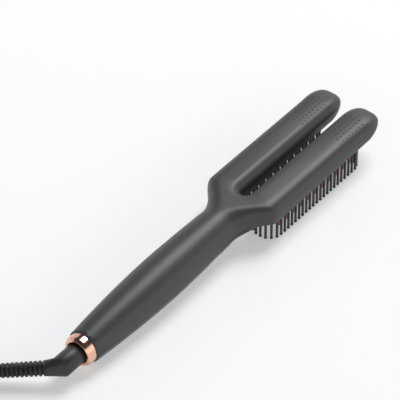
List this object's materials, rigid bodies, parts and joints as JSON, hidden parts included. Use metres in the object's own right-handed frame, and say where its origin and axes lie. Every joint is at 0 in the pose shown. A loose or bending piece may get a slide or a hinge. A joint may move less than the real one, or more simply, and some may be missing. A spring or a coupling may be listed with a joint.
{
  "type": "hair straightening brush",
  "caption": "Forked hair straightening brush with ball-tipped pins round heated teeth, a tapered handle with push buttons, and a swivel mains cord.",
  "frame": {"origin": "on the surface that the brush lies on, under the middle of its length and width", "axes": "+X from the tail to the arm tips, +Y to the left seen from the tail with the pins down, +Z from the pin tips to the back of the casing"},
  "size_m": [0.4526, 0.1297, 0.0311],
  "materials": {
    "shell_grey": "fine matte moulding",
    "rose_gold": "polished plating",
    "pin_black": "satin nylon",
    "frame_black": "fine matte moulding",
    "tooth_coating": "satin ceramic coating",
    "plate_aluminium": "machined",
    "ceramic_heater": "foil wrapped",
    "spring_steel": "rolled sheet",
    "sensor_glass": "cast bead",
    "fuse_case": "drawn case",
    "wire_silicone": "silicone",
    "wire_mains": "insulation",
    "board_green": "solder mask",
    "switch_black": "moulded",
    "display_glass": "polished",
    "display_unit": "moulded",
    "button_black": "satin",
    "acetal_white": "machined",
    "screw_steel": "zinc plated",
    "cord_black": "satin rubber",
    "tie_black": "matte",
    "plug_black": "satin moulding",
    "pin_nickel": "nickel plated"
  },
  "bodies": {
    "brush": {"top_shell": "shell_grey", "bottom_shell": "shell_grey", "end_ring": "rose_gold", "bristle_frame_left": "frame_black", "bristle_frame_right": "frame_black", "bristle_pins_left": "pin_black", "bristle_pins_right": "pin_black", "heating_teeth_left": "tooth_coating", "heating_teeth_right": "tooth_coating", "heater_plate_left": "plate_aluminium", "heater_plate_right": "plate_aluminium", "ptc_heater_left": "ceramic_heater", "ptc_heater_right": "ceramic_heater", "heater_clamp_left": "spring_steel", "heater_clamp_right": "spring_steel", "temperature_sensor": "sensor_glass", "thermal_fuse": "fuse_case", "heater_leads": "wire_silicone", "mains_leads": "wire_mains", "control_board": "board_green", "tact_switches": "switch_black", "display_module": "display_unit", "display_window": "display_glass", "swivel_bushing": "acetal_white", "housing_screws": "screw_steel", "frame_screws": "screw_steel"},
    "power_button": {"power_button": "button_black"},
    "minus_button": {"minus_button": "button_black"},
    "plus_button": {"plus_button": "button_black"},
    "cord": {"swivel_elbow": "cord_black", "swivel_clip": "spring_steel", "strain_relief_boot": "cord_black", "cord_lead": "cord_black", "cord_coil": "cord_black", "cord_tie": "tie_black", "plug_body": "plug_black", "plug_pins": "pin_nickel"}
  },
  "joints": [
    {"name": "power_press", "type": "slide", "parent": "brush", "child": "power_button", "axis": [-0.0646, 0, 0.9979], "range_m": [0, 0.0006], "stiffness_N_per_m": 800},
    {"name": "minus_press", "type": "slide", "parent": "brush", "child": "minus_button", "axis": [-0.0646, 0, 0.9979], "range_m": [0, 0.0006], "stiffness_N_per_m": 800},
    {"name": "plus_press", "type": "slide", "parent": "brush", "child": "plus_button", "axis": [-0.0646, 0, 0.9979], "range_m": [0, 0.0006], "stiffness_N_per_m": 800},
    {"name": "cord_swivel", "type": "hinge", "parent": "brush", "child": "cord", "pos_m": [-0.14205, 0, 0.01312], "axis": [1, 0, 0], "continuous": true}
  ]
}
